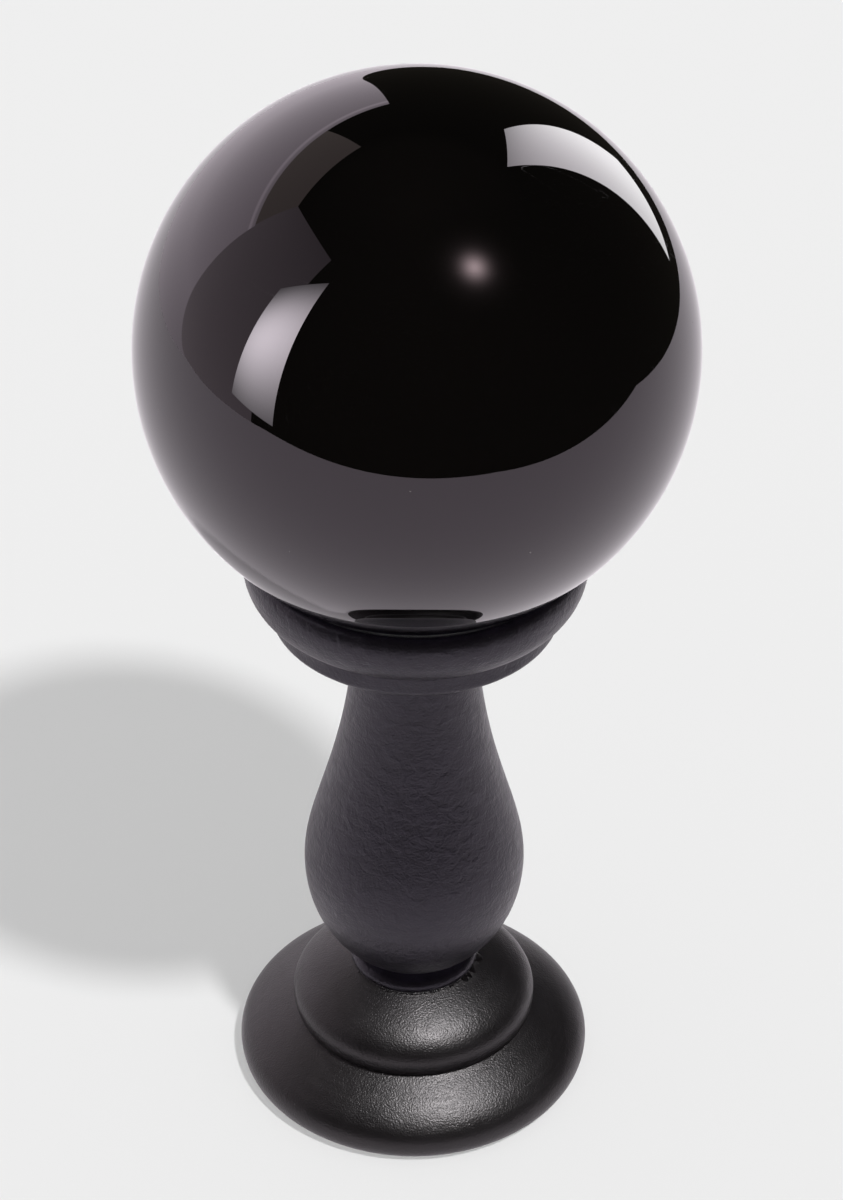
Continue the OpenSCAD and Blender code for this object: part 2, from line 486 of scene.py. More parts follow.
@dataclass(frozen=True)
class SatinLacquer(Finish):
    """Satin black lacquer, sprayed in two coats on turned beech.

    It gives the eye a soft sheen broken by orange peel, slow waves left by sanding, the faint
    rings of the lathe under the paint and a little dust.
    """

    colour: str = "#0b090e"
    thin: str = "#131017"
    dust: str = "#5b5a5c"
    cast: str = "#f4eeff"
    ior: float = 1.51
    smooth: float = 0.33
    matt: float = 0.45
    peel_mm: float = 0.40        # spacing of the orange peel's bumps
    peel_height: float = 0.085
    wave_mm: float = 2.4
    wave_height: float = 0.22
    ring_mm: float = 0.9         # spacing of the lathe's rings
    ring_height: float = 0.030
    nib_mm: float = 4.0          # spacing of the specks of dust caught in the paint
    nib_size: float = 0.045      # radius of a speck, as a share of the spacing
    nib_height: float = 0.05

    def dress(self, tree: bpy.types.NodeTree, place: Socket) -> dict:
        """Add this finish's nodes, and give the shader's inputs."""
        lay = node(tree, "ShaderNodeAttribute", attribute_name="lay").outputs["Vector"]
        peel = node(tree, "ShaderNodeTexNoise",
                    {"Vector": place, "Scale": per_mm(self.peel_mm), "Detail": 1.5,
                     "Roughness": 0.5})
        wave = node(tree, "ShaderNodeTexNoise",
                    {"Vector": place, "Scale": per_mm(self.wave_mm), "Detail": 4.0,
                     "Roughness": 0.55, "Distortion": 0.6})
        ring = node(tree, "ShaderNodeTexNoise",
                    {"Vector": lay, "Scale": per_mm(self.ring_mm), "Detail": 3.0,
                     "Roughness": 0.6})
        cells = node(tree, "ShaderNodeTexVoronoi", {"Vector": place, "Scale": per_mm(self.nib_mm)})
        chance = node(tree, "ShaderNodeSeparateColor", {"Color": cells.outputs["Color"]})
        near = node(tree, "ShaderNodeMapRange",
                    {"Value": cells.outputs["Distance"], "From Min": self.nib_size, "From Max": 0.0,
                     "To Min": 0.0, "To Max": 1.0})
        chosen = node(tree, "ShaderNodeMath", {0: chance.outputs[1], 1: 0.7},
                      operation="GREATER_THAN")
        nib = node(tree, "ShaderNodeMath", {0: near.outputs[0], 1: chosen.outputs[0]},
                   operation="MULTIPLY")
        height = 0.0
        for part, high in ((wave, self.wave_height), (ring, self.ring_height),
                           (peel, self.peel_height), (nib, self.nib_height)):
            height = node(tree, "ShaderNodeMath", {0: part.outputs[0], 1: high, 2: height},
                          operation="MULTIPLY_ADD").outputs[0]
        bump = node(tree, "ShaderNodeBump", {"Height": height, "Strength": 1.0, "Distance": MM})
        patch = node(tree, "ShaderNodeMapRange",
                     {"Value": wave.outputs[0], "From Min": 0.35, "From Max": 0.7})
        colour = node(tree, "ShaderNodeMix",
                      {0: patch.outputs[0], 6: linear(self.colour), 7: linear(self.thin)},
                      data_type="RGBA")
        dusty = node(tree, "ShaderNodeMath", {0: nib.outputs[0], 1: 0.5}, operation="MULTIPLY")
        colour = node(tree, "ShaderNodeMix",
                      {0: dusty.outputs[0], 6: colour.outputs[2], 7: linear(self.dust)},
                      data_type="RGBA")
        rough = node(tree, "ShaderNodeMapRange",
                     {"Value": ring.outputs[0], "From Min": 0.3, "From Max": 0.7,
                      "To Min": self.smooth, "To Max": self.matt})
        return {"IOR": self.ior, "Specular Tint": linear(self.cast),
                "Base Color": colour.outputs[2], "Roughness": rough.outputs[0],
                "Normal": bump.outputs[0]}


@dataclass(frozen=True)
class WoolFelt(Finish):
    """Black wool felt, pressed from short fibres.

    It gives the eye a matt, slightly greyed nap with pills and hollows, and a soft glow at its
    edge. The fibres are drawn ten times coarser than wool, as finer ones wouldn't show.
    """

    colour: str = "#0f0e10"
    nap: str = "#2b2a2e"
    fibre_mm: float = 0.22
    clump_mm: float = 1.7
    sheen: float = 0.35
    rough: float = 0.95

    def dress(self, tree: bpy.types.NodeTree, place: Socket) -> dict:
        """Add this finish's nodes, and give the shader's inputs."""
        drawn = node(tree, "ShaderNodeMapping",
                     {"Vector": place, "Rotation": (0.0, 0.0, 0.6), "Scale": (1.0, 0.3, 1.0)})
        fibre = node(tree, "ShaderNodeTexNoise",
                     {"Vector": drawn.outputs[0], "Scale": per_mm(self.fibre_mm), "Detail": 3.0,
                      "Roughness": 0.7, "Distortion": 1.2})
        clump = node(tree, "ShaderNodeTexNoise",
                     {"Vector": place, "Scale": per_mm(self.clump_mm), "Detail": 4.0})
        height = node(tree, "ShaderNodeMath",
                      {0: fibre.outputs[0], 1: 0.6, 2: clump.outputs[0]},
                      operation="MULTIPLY_ADD")
        bump = node(tree, "ShaderNodeBump",
                    {"Height": height.outputs[0], "Strength": 1.0, "Distance": 0.3 * MM})
        share = node(tree, "ShaderNodeMapRange",
                     {"Value": height.outputs[0], "From Min": 0.6, "From Max": 1.05})
        colour = node(tree, "ShaderNodeMix",
                      {0: share.outputs[0], 6: linear(self.colour), 7: linear(self.nap)},
                      data_type="RGBA")
        return {"Roughness": self.rough, "Sheen Weight": self.sheen, "Sheen Roughness": 0.5,
                "Base Color": colour.outputs[2], "Normal": bump.outputs[0]}


@dataclass(frozen=True)
class ZincSteel(Finish):
    """Steel wire, cold headed and bright zinc plated.

    It gives the eye a pale grey metal with blotches of duller plating and fine die marks.
    """

    colour: str = "#bdbab3"
    dull: str = "#95928d"
    smooth: float = 0.24
    matt: float = 0.42
    blotch_mm: float = 1.4
    mark_mm: float = 0.15

    def dress(self, tree: bpy.types.NodeTree, place: Socket) -> dict:
        """Add this finish's nodes, and give the shader's inputs."""
        blotch = node(tree, "ShaderNodeTexNoise",
                      {"Vector": place, "Scale": per_mm(self.blotch_mm), "Detail": 4.0})
        drawn = node(tree, "ShaderNodeMapping", {"Vector": place, "Scale": (1.0, 1.0, 0.15)})
        mark = node(tree, "ShaderNodeTexNoise",
                    {"Vector": drawn.outputs[0], "Scale": per_mm(self.mark_mm), "Detail": 2.0})
        share = node(tree, "ShaderNodeMapRange",
                     {"Value": blotch.outputs[0], "From Min": 0.35, "From Max": 0.7})
        colour = node(tree, "ShaderNodeMix",
                      {0: share.outputs[0], 6: linear(self.colour), 7: linear(self.dull)},
                      data_type="RGBA")
        rough = node(tree, "ShaderNodeMapRange",
                     {"Value": blotch.outputs[0], "From Min": 0.3, "From Max": 0.7,
                      "To Min": self.smooth, "To Max": self.matt})
        bump = node(tree, "ShaderNodeBump",
                    {"Height": mark.outputs[0], "Strength": 0.6, "Distance": 0.01 * MM})
        return {"Metallic": 1.0, "Base Color": colour.outputs[2],
                "Roughness": rough.outputs[0], "Normal": bump.outputs[0]}


# ---------------------------------------------------------------- pieces


@dataclass(frozen=True)
class Levels:
    """Heights in mm that the CAD nodes give."""

    ball_low: float
    ball_high: float
    foot_low: float
    foot_high: float
    cup_low: float
    cup_high: float
    cup_floor: float
    tenon_low: float
    foot_screw_low: float
    pad_high: float

    @classmethod
    def from_frame(cls) -> Levels:
        """Read the levels from the frame's boxes."""
        low, high = ({n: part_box(n)[k].z / MM for n in ("ball", "foot", "cup", "stem", "foot_pad",
                                                       "cup_screw", "foot_screw")} for k in (0, 1))
        return cls(low["ball"], high["ball"], low["foot"], high["foot"], low["cup"], high["cup"],
                   high["cup_screw"], low["stem"], low["foot_screw"], high["foot_pad"])


def show(name: str, surface: Surface, finish: bpy.types.Material, body: Body,
         replaced: str | None = None) -> bpy.types.Object:
    """Put a surface in the scene as a piece that rides on a CAD body.

    Args:
        name: the piece's name.
        surface: its points and faces.
        finish: its material.
        body: the body that it rides on.
        replaced: the CAD node that it stands for, if there is one.

    Returns:
        The piece.
    """
    mesh = surface.mesh(name)
    mesh.materials.append(finish)
    piece = bpy.data.objects.new(name, mesh)
    bpy.context.scene.collection.objects.link(piece)
    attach(piece, body.value)
    if replaced:
        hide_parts(replaced)
    LOG.info("%s: %d points, %d faces, on %s", name, len(mesh.vertices), len(mesh.polygons),
             body.value)
    return piece


@dataclass
class GlassBall:
    """The polished glass ball."""

    levels: Levels
    finish: bpy.types.Material
    rings: int = 200
    segments: int = 360

    def build(self) -> bpy.types.Object:
        """Turn a half circle whose poles lie on the ball's top and bottom.

        Returns:
            The ball.
        """
        radius = (self.levels.ball_high - self.levels.ball_low) / 2
        outline = arc((0.0, self.levels.ball_low + radius), radius, radius, -90, 90, self.rings)
        outline[[0, -1], 0] = 0.0
        surface = turned(outline, self.segments, False, Unevenness())
        return show("glass_ball", surface, self.finish, Body.BALL, "ball")


@dataclass
class Seat:
    """The coned seat that the ball's felt ring lies on, from the ball and the rim's lip."""

    levels: Levels
    lip_inner: float = 28.45     # outer radius of the seat
    felt_wide: float = 3.6
    felt_thick: float = 1.0
    clear: float = 0.2

    def __post_init__(self) -> None:
        """Find the cone's foot and top: its middle touches a sphere of ball, gap and felt."""
        radius = (self.levels.ball_high - self.levels.ball_low) / 2
        reach, half = radius + self.clear + self.felt_thick, self.felt_wide / 2
        lean = math.asin(self.lip_inner / math.hypot(reach, half)) - math.atan(half / reach)
        self.across = np.array([math.sin(lean), -math.cos(lean)])
        self.along = np.array([math.cos(lean), math.sin(lean)])
        middle = np.array([0.0, self.levels.ball_low + radius]) + reach * self.across
        self.top, self.foot = middle + half * self.along, middle - half * self.along


@dataclass
class TurnedCup:
    """The cup: a thin disc, a crease, and a thick rounded rim with a bowl and a seat inside."""

    levels: Levels
    seat: Seat
    finish: bpy.types.Material
    rim_r: float = 31.85
    lip_wide: float = 3.4
    lip_high: float = 3.3
    under_high: float = 7.1
    disc_inset: float = 4.9
    disc_round: float = 1.3
    wall: float = 4.2
    bowl_round: float = 1.0
    hole_r: float = 2.2
    sink_r: float = 4.2
    sink_rim: float = 0.2        # straight depth of the countersink's mouth

    def build(self) -> bpy.types.Object:
        """Turn the loop that goes out under the disc, up the rim, and down the bowl and hole.

        Returns:
            The cup.
        """
        low, top, floor = self.levels.cup_low, self.levels.cup_high, self.levels.cup_floor
        disc_r, lip_r = self.rim_r - self.disc_inset, self.rim_r - self.lip_wide / 2
        bowl_r = disc_r - self.disc_round - self.wall
        widest = top - self.lip_high
        crease = widest - self.under_high
        sink = floor - self.sink_rim
        edge, well = disc_r - self.disc_round, bowl_r - self.bowl_round
        outline = np.vstack([
            [(self.hole_r, low)],
            arc((edge, low + self.disc_round), self.disc_round, self.disc_round, -90, 0, 12),
            arc((edge, crease - self.disc_round), self.disc_round, self.disc_round, 0, 90, 12),
            arc((disc_r, widest), self.disc_inset, self.under_high, -90, 0, 30),
            arc((lip_r, widest), self.lip_wide / 2, self.lip_high, 0, 90, 20)[1:],
            curve((lip_r, top), (self.seat.top[0], top), self.seat.top, count=10)[1:],
            [self.seat.foot],
            [(bowl_r, crease + self.bowl_round)],
            arc((well, floor + self.bowl_round), self.bowl_round, self.bowl_round, 0, -90, 8),
            [(self.sink_r, floor), (self.sink_r, sink)],
            [(self.hole_r, sink - (self.sink_r - self.hole_r))],
        ])
        outline = refine(soften(outline, 0.3, True), 0.45, True)
        surface = turned(outline, 320, True, Unevenness(wander=0.05, seed=11))
        return show("turned_cup", surface, self.finish, Body.STAND, "cup")


@dataclass
class SeatFelt:
    """The felt ring glued on the cup's coned seat."""

    seat: Seat
    finish: bpy.types.Material

    def build(self) -> bpy.types.Object:
        """Turn a soft-cornered strip that lies on the seat, with a fuzzy face.

        Returns:
            The felt ring.
        """
        lift = -self.seat.felt_thick * self.seat.across
        swell = lift * 1.04
        middle = (self.seat.foot + self.seat.top) / 2 + swell
        outline = np.vstack([self.seat.foot, self.seat.top, self.seat.top + lift, middle,
                             self.seat.foot + lift])
        outline = refine(soften(outline, 0.35, True), 0.22, True)
        surface = turned(outline, 640, True, Unevenness(wander=0.03, fuzz=0.025, seed=23))
        piece = show("seat_felt", surface, self.finish, Body.STAND, "seat_ring")
        return piece


@dataclass
class TurnedStem:
    """The stem: tenon, bead, groove, pear-shaped belly, slim neck and a small collar."""

    levels: Levels
    finish: bpy.types.Material
    tenon_r: float = 6.0
    tenon_chamfer: float = 0.6
    bead_r: float = 12.7
    bead_high: float = 3.1
    groove_r: float = 9.8
    belly_r: float = 21.4
    belly_high: float = 26.3
    neck_r: float = 11.5
    collar_r: float = 13.0
    collar_high: float = 6.0
    pilot_r: float = 1.4
    low_pilot_top: float = 37.9
    high_pilot_foot: float = 88.1

    def build(self) -> bpy.types.Object:
        """Turn the outline from the lower pilot hole out and up, into the upper pilot hole.

        Returns:
            The stem.
        """
        foot, top, bead = self.levels.foot_high, self.levels.cup_low, self.bead_high / 2
        belly, neck = (self.belly_r, foot + self.belly_high), (self.neck_r, top - self.collar_high)
        rise, waist = neck[1] - belly[1], self.belly_r - self.neck_r
        end = self.levels.tenon_low
        outline = np.vstack([
            [(0.0, self.low_pilot_top), (self.pilot_r, self.low_pilot_top), (self.pilot_r, end)],
            [(self.tenon_r - self.tenon_chamfer, end), (self.tenon_r, end + self.tenon_chamfer)],
            [(self.tenon_r, foot)],
            arc((self.bead_r - bead, foot + bead), bead, bead, -90, 90, 26),
            curve((self.groove_r, foot + self.bead_high + 0.5),
                  (self.belly_r, foot + 0.455 * self.belly_high), belly, count=50),
            curve(belly, (belly[0], belly[1] + 0.22 * rise),
                  (neck[0] + 0.19 * waist, belly[1] + 0.42 * rise), neck, count=80)[1:],
            curve(neck, (neck[0] - 0.3, top - 0.25 * self.collar_high), (self.collar_r, top),
                  count=20)[1:],
            [(self.pilot_r, top), (self.pilot_r, self.high_pilot_foot),
             (0.0, self.high_pilot_foot)],
        ])
        outline = refine(soften(outline, 0.3, False), 0.8, False)
        surface = turned(outline, 288, False, Unevenness(wander=0.08, seed=5))
        return show("turned_stem", surface, self.finish, Body.STAND, "stem")


@dataclass
class TurnedFoot:
    """The foot: a broad lower tier with a rounded edge under a domed upper tier."""

    levels: Levels
    finish: bpy.types.Material
    edge_r: float = 34.9
    edge_high: float = 2.8
    edge_round: float = 1.9
    crease_high: float = 12.1
    tier_r: float = 24.1
    tier_high: float = 2.7
    undercut: float = 0.7
    top_r: float = 11.9
    socket_r: float = 6.1
    socket_deep: float = 9.4
    hole_r: float = 2.2
    sink_r: float = 4.2
    sink_rim: float = 0.2
    counterbore_r: float = 5.5
    recess_r: float = 29.3

    def build(self) -> bpy.types.Object:
        """Turn the loop that goes out under the foot, up both tiers, and down the bores.

        Returns:
            The foot.
        """
        low, top, seat = self.levels.foot_low, self.levels.foot_high, self.levels.foot_screw_low
        edge = (self.edge_r, low + self.edge_high)
        crease = (self.tier_r - self.undercut, low + self.crease_high)
        tier = (self.tier_r, crease[1] + self.tier_high)
        fall, tread = edge[1] - crease[1], edge[0] - crease[0]
        drop, shelf = tier[1] - top, tier[0] - self.top_r
        socket, sink = top - self.socket_deep, seat + self.sink_rim
        outline = np.vstack([
            [(self.recess_r, self.levels.pad_high), (self.recess_r, low)],
            arc((edge[0] - self.edge_round, edge[1]), self.edge_round, self.edge_high, -90, 0, 20),
            curve(edge, (edge[0], edge[1] - 0.45 * fall),
                  (crease[0] + 0.48 * tread, crease[1] + 0.28 * fall), crease, count=50)[1:],
            arc((crease[0], tier[1]), self.undercut, self.tier_high, -90, 0, 16)[1:],
            curve(tier, (tier[0], tier[1] - 0.52 * drop),
                  (self.top_r + 0.42 * shelf, top + 0.2 * drop), (self.top_r, top), count=50)[1:],
            [(self.socket_r, top), (self.socket_r, socket), (self.hole_r, socket)],
            [(self.hole_r, sink + self.sink_r - self.hole_r), (self.sink_r, sink)],
            [(self.sink_r, seat), (self.counterbore_r, seat)],
            [(self.counterbore_r, self.levels.pad_high)],
        ])
        outline = refine(soften(outline, 0.3, True), 0.75, True)
        surface = turned(outline, 336, True, Unevenness(wander=0.07, seed=8))
        return show("turned_foot", surface, self.finish, Body.STAND, "foot")


@dataclass
class GlueLine:
    """The squeezed-out, painted-over glue in the joint between the foot and the stem."""

    levels: Levels
    finish: bpy.types.Material
    radius: float = 12.0
    bead: float = 0.16
    crumb: float = 1.7
    crumbs_from: float = -54.0   # the crumbly stretch, in degrees round the axis
    crumbs_to: float = 8.0

    def build(self) -> bpy.types.Object:
        """Carry a small circle round the joint, whose radius swells into crumbs.

        x and y = (joint radius + rho * cos(turn)) along the angle, z = level + rho * sin(turn),
        where rho = bead + crumb * (noise above its threshold) within the crumbly stretch.

        Returns:
            The line of glue.
        """
        segments, sides = 900, 12
        angle = np.linspace(-np.pi, np.pi, segments, endpoint=False)[None, :]
        turn = np.linspace(0, 2 * np.pi, sides, endpoint=False)[:, None]
        slow = smooth_noise((1, segments), 9, 31)[0][None, :]
        fine = smooth_noise((sides, segments), 3, 32)
        middle, half = (math.radians((self.crumbs_from + self.crumbs_to) / 2),
                        math.radians((self.crumbs_to - self.crumbs_from) / 2))
        inside = np.exp(-(((angle - middle) / (0.75 * half)) ** 4))
        lump = np.clip(slow - 0.1, 0, 2) / 2 * (0.15 + 0.85 * inside)
        rho = self.bead + self.crumb * lump * (1 + 0.35 * fine) + 0.02 * fine
        out = self.radius + rho * np.cos(turn)
        level = self.levels.foot_high + 0.05
        points = np.stack([out * np.cos(angle), out * np.sin(angle), level + rho * np.sin(turn)],
                          axis=2).reshape(-1, 3)
        faces = grid_faces(sides, segments, True).tolist()
        surface = Surface(points, faces, points.copy())
        return show("glue_line", surface, self.finish, Body.STAND)


@dataclass
class FootFelt:
    """The felt pad glued into the recess under the foot."""

    levels: Levels
    finish: bpy.types.Material
    radius: float = 29.0

    def build(self) -> bpy.types.Object:
        """Turn a flat disc with a soft edge and a fuzzy face.

        Returns:
            The pad.
        """
        top = self.levels.pad_high
        outline = np.array([(0.0, 0.0), (self.radius - 0.15, 0.0), (self.radius, top / 2),
                            (self.radius - 0.1, top), (0.0, top)])
        outline = refine(soften(outline, 0.4, False), 0.8, False)
        surface = turned(outline, 360, False, Unevenness(wander=0.08, fuzz=0.03, seed=41))
        piece = show("foot_felt", surface, self.finish, Body.STAND, "foot_pad")
        return piece


@dataclass
class Screws:
    """The two wood screws, whose CAD shape is right and stays."""

    nodes: dict[str, bpy.types.Object]
    finish: bpy.types.Material

    def build(self) -> None:
        """Dress both screws in bright zinc."""
        for name in ("cup_screw", "foot_screw"):
            self.nodes[name].data.materials.clear()
            self.nodes[name].data.materials.append(self.finish)
            LOG.info("%s: CAD node, dressed", name)


# ---------------------------------------------------------------- studio


def bearing(azimuth: float, elevation: float = 0.0) -> Array:
    """Give the unit vector of a direction: azimuth 0 is +Y and 90 is +X, in degrees."""
    a, e = math.radians(azimuth), math.radians(elevation)
    return np.array([math.sin(a) * math.cos(e), math.cos(a) * math.cos(e), math.sin(e)])


@dataclass
class Board:
    """A curved or flat sheet of the studio that glows by itself, or is lit as white paper."""

    name: str
    points: Array                # rows, columns and x, y, z in metres
    glow: Array | None           # light of each point; None for plain white paper
    tint: str = "#ffffff"
    seen: Seen = Seen.GLOSS
    white: float = 0.8           # share of light that plain paper gives back

    def build(self) -> bpy.types.Object:
        """Make the sheet.

        Returns:
            The sheet, marked as no part of the object.
        """
        rows, columns = self.points.shape[:2]
        i, j = np.arange(rows - 1)[:, None] * columns, np.arange(columns - 1)[None, :]
        first = i + j
        faces = np.stack([first, first + 1, first + columns + 1, first + columns], axis=2)
        mesh = bpy.data.meshes.new(self.name)
        mesh.from_pydata(self.points.reshape(-1, 3).tolist(), [], faces.reshape(-1, 4).tolist())
        if self.glow is not None:
            mesh.attributes.new("glow", "FLOAT", "POINT").data.foreach_set(
                "value", self.glow.astype(np.float32).ravel())
        mesh.shade_smooth()
        mesh.materials.append(self.paper() if self.glow is None else self.light())
        return place_in_studio(bpy.data.objects.new(self.name, mesh), self.seen)

    def light(self) -> bpy.types.Material:
        """Make a material that gives out the tint, as strongly as each point's glow."""
        made, tree = blank_material(f"{self.name}_light")
        glow = node(tree, "ShaderNodeAttribute", attribute_name="glow")
        lit = node(tree, "ShaderNodeEmission",
                   {"Color": linear(self.tint), "Strength": glow.outputs["Fac"]})
        node(tree, "ShaderNodeOutputMaterial", {"Surface": lit.outputs[0]})
        return made

    def paper(self) -> bpy.types.Material:
        """Make matt white paper."""
        made, tree = blank_material(f"{self.name}_paper")
        shade = tuple(self.white * part for part in linear(self.tint)[:3])
        matt = node(tree, "ShaderNodeBsdfDiffuse", {"Color": (*shade, 1.0)})
        node(tree, "ShaderNodeOutputMaterial", {"Surface": matt.outputs[0]})
        return made


def place_in_studio(made: bpy.types.Object, seen: Seen) -> bpy.types.Object:
    """Link a studio object, and show it only to the rays that should meet it.

    Args:
        made: the object.
        seen: the rays that meet it.

    Returns:
        The same object.
    """
    bpy.context.scene.collection.objects.link(made)
    made.visible_camera = seen is not Seen.GLOSS
    made.visible_glossy = seen is Seen.GLOSS
    made.visible_diffuse = made.visible_shadow = seen is Seen.ALL_BUT_GLOSS
    made.visible_transmission = made.visible_volume_scatter = False
    made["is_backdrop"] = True
    return made


def gather(name: str, wanted: tuple[str, ...]) -> bpy.types.Collection:
    """Gather pieces, so that a light can be linked to them alone.

    Args:
        name: name of the collection.
        wanted: names of the pieces.

    Returns:
        The collection, which is in no scene.
    """
    pieces = bpy.data.collections.new(name)
    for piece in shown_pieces():
        if piece.name in wanted:
            pieces.objects.link(piece)
    return pieces


def upright(name: str, start: Array, end: Array, low: float, high: float, glow: Array,
            tint: str = "#ffffff") -> Board:
    """Stand a flat sheet between two places on the floor.

    Args:
        name: name of the sheet.
        start: x and y of its left end, in metres.
        end: x and y of its right end, in metres.
        low: height of its lower edge, in metres.
        high: height of its upper edge, in metres.
        glow: light of its points, rows going up and columns going right.
        tint: colour of the light.

    Returns:
        The sheet.
    """
    rows, columns = glow.shape
    across = np.linspace(0, 1, columns)[None, :, None]
    plan = np.broadcast_to(np.array(start) * (1 - across) + np.array(end) * across,
                           (rows, columns, 2))
    up = np.broadcast_to(np.linspace(low, high, rows)[:, None, None], (rows, columns, 1))
    return Board(name, np.concatenate([plan, up], axis=2), glow, tint)


@dataclass
class Studio:
    """A white table, a paper sweep that glows with painted light, a folded flag in painted shade, two
    softboxes and a lamp, in a faintly glowing dark.
    """

    sweep_toward: float = -39.0  # the direction of the paper's back wall, in degrees
    sweep_far: float = 1.2       # distance of the wall, in metres
    sweep_high: float = 1.07
    sweep_bend: float = 0.35     # radius of the bend between table and wall
    paper_half: float = 0.74
    table_front: float = -0.55
    table_left: float = -0.93
    table_right: float = 0.70
    curl_wide: float = 0.83      # how far the paper's near left corner curls in, to the right
    curl_deep: float = 0.67      # and away from its front
    lamp_from: tuple[float, float] = (139.0, 60.0)
    lamp_spread: float = 4.6     # the angle that the lamp fills, in degrees
    lamp_power: float = 1.37
    head_from: tuple[float, float] = (135.2, 59.2)   # the lamp's head, as the ball mirrors it
    head_far: float = 3.0
    head_wide: float = 24.0      # half of the angle that its faded edge fills, in degrees
    ball_middle: float = 0.166   # height of the ball's centre, which the head hangs from
    overhead_from: tuple[float, float] = (131.0, 73.0)
    overhead_spread: float = 10.0
    overhead_power: float = 3.7
    ambient: float = 0.20
    fill_power: float = 1.57     # even light from above that throws no shadow
    floor_level: float = 0.863   # light of the pale floor, matched by the backdrop

    def on_table(self, toward: Array, right: Array) -> Array:
        """Turn distances toward the wall and to its right into x and y."""
        axis, side = bearing(self.sweep_toward)[:2], bearing(self.sweep_toward + 90)[:2]
        return toward[..., None] * axis + right[..., None] * side

    def build(self) -> None:
        """Set up the floor, the reflected room and the lights."""
        self.floor()
        self.sweep()
        self.boards()
        self.softboxes()
        self.room()
        self.lights()

    def floor(self) -> None:
        """Lay the pale floor and stand the pale backdrop that other views look at."""
        span = np.linspace(-6.0, 6.0, 3)
        x, y = np.meshgrid(span, span)
        Board("floor", np.stack([x, y, np.full_like(x, -0.0003)], axis=2), None,
              seen=Seen.ALL_BUT_GLOSS).build()
        self.dome("backdrop", 6.2, np.full((25, 49), self.floor_level), "#ffffff", Seen.EYE)

    def dome(self, name: str, radius: float, glow: Array, tint: str,
             seen: Seen) -> bpy.types.Object:
        """Close the room with a ball whose rows run from straight down to straight up.

        Args:
            name: name of the dome.
            radius: its radius, in metres.
            glow: light of its points.
            tint: colour of the light.
            seen: the rays that meet it.

        Returns:
            The dome.
        """
        rows, columns = glow.shape
        up = np.linspace(-np.pi / 2, np.pi / 2, rows)[:, None]
        around = np.linspace(-np.pi, np.pi, columns)[None, :]
        points = radius * np.stack([np.cos(up) * np.sin(around), np.cos(up) * np.cos(around),
                                    np.sin(up) + 0 * around], axis=2)
        return Board(name, points, glow, tint, seen).build()

    def sweep(self) -> None:
        """Lay the table's white top, and bend the paper up into the back wall, which glows with
        painted light.
        """
        toward = np.linspace(self.table_front, self.sweep_far - self.sweep_bend, 60)[:, None]
        curl = np.clip((self.table_front + self.curl_deep - toward) / self.curl_deep, 0, 1)
        left = self.table_left + self.curl_wide * (1 - (1 - curl**1.35) ** (1 / 1.35))
        left = left + 0.21 * np.clip((toward - 0.4) / 0.6, 0, 1)
        across = np.linspace(0, 1, 9)[None, :]
        right = left * (1 - across) + self.table_right * across
        plan = self.on_table(np.broadcast_to(toward, right.shape), right)
        level = np.full((*right.shape, 1), -0.0001)
        Board("table_top", np.concatenate([plan, level], axis=2), None, "#fff8fe",
              white=0.95).build()
        turn = np.linspace(0, np.pi / 2, 12)
        bend = self.sweep_bend
        roll = self.sweep_high - np.array([0.10, 0.08, 0.06, 0.04, 0.0])
        reach = np.concatenate([self.sweep_far - bend + bend * np.sin(turn),
                                np.full(11, self.sweep_far)])
        climb = np.concatenate([bend * (1 - np.cos(turn)),
                                np.linspace(bend + 0.1, self.sweep_high - 0.12, 6),
                                roll])
        toward, right = np.meshgrid(reach, np.linspace(-self.paper_half, self.paper_half, 5),
                                    indexing="ij")
        high = np.broadcast_to(climb[:, None], toward.shape)
        # The paper glows instead of being lit: painted light that rises up the bend, dims a little
        # higher up, and peaks in a painted highlight along the rolled top edge.
        glow = np.interp(high, [0.0, 0.25, *roll], [1.05, 1.3, 1.2, 1.75, 1.7, 1.2, 1.05])
        points = np.concatenate([self.on_table(toward, right), high[..., None]], axis=2)
        Board("glowing_paper_sweep", points, glow, "#fff4fd").build()

    def boards(self) -> None:
        """Stand the folded flag behind the paper, as two dim sheets that glow: their grey is painted
        shade.
        """
        fold = 2.0 * bearing(-70)[:2]
        near, far = 1.6 * bearing(-116)[:2], 1.66 * bearing(-27)[:2]
        # Painted shade: the left wing glows 0.78 at the bottom, fading to 0.38 at the top and a little
        # brighter to the right; the right wing glows an even 0.42.
        shade = np.linspace(0.78, 0.38, 8)[:, None] * np.linspace(0.9, 1.1, 5)[None, :]
        upright("painted_shade_flag_left", near, fold, -0.8, 2.4, shade, "#fff2f8").build()
        upright("painted_shade_flag_right", fold, far, -0.8, 2.4, np.full((3, 3), 0.42), "#fff0e6").build()

    def softboxes(self) -> None:
        """Stand the two tall softboxes, brighter in the middle than at their ends."""
        up, across = np.linspace(-1, 1, 16)[:, None], np.linspace(-1, 1, 10)[None, :]
        even = np.exp(-1.96 * (up + 0.06) ** 2 - 0.25 * across**2)
        boxes = [
            upright("softbox_left", np.array([-0.600, -0.439]), np.array([-1.136, -0.337]), 0.07,
                    0.99, 10.4 * even),
            upright("softbox_right", np.array([0.510, 1.074]), np.array([0.486, 0.480]), 0.07,
                    1.05, 5.1 * even ** 0.25)]
        glass = gather("glass_pieces", ("glass_ball",))
        for box in boxes:
            box.build().light_linking.receiver_collection = glass

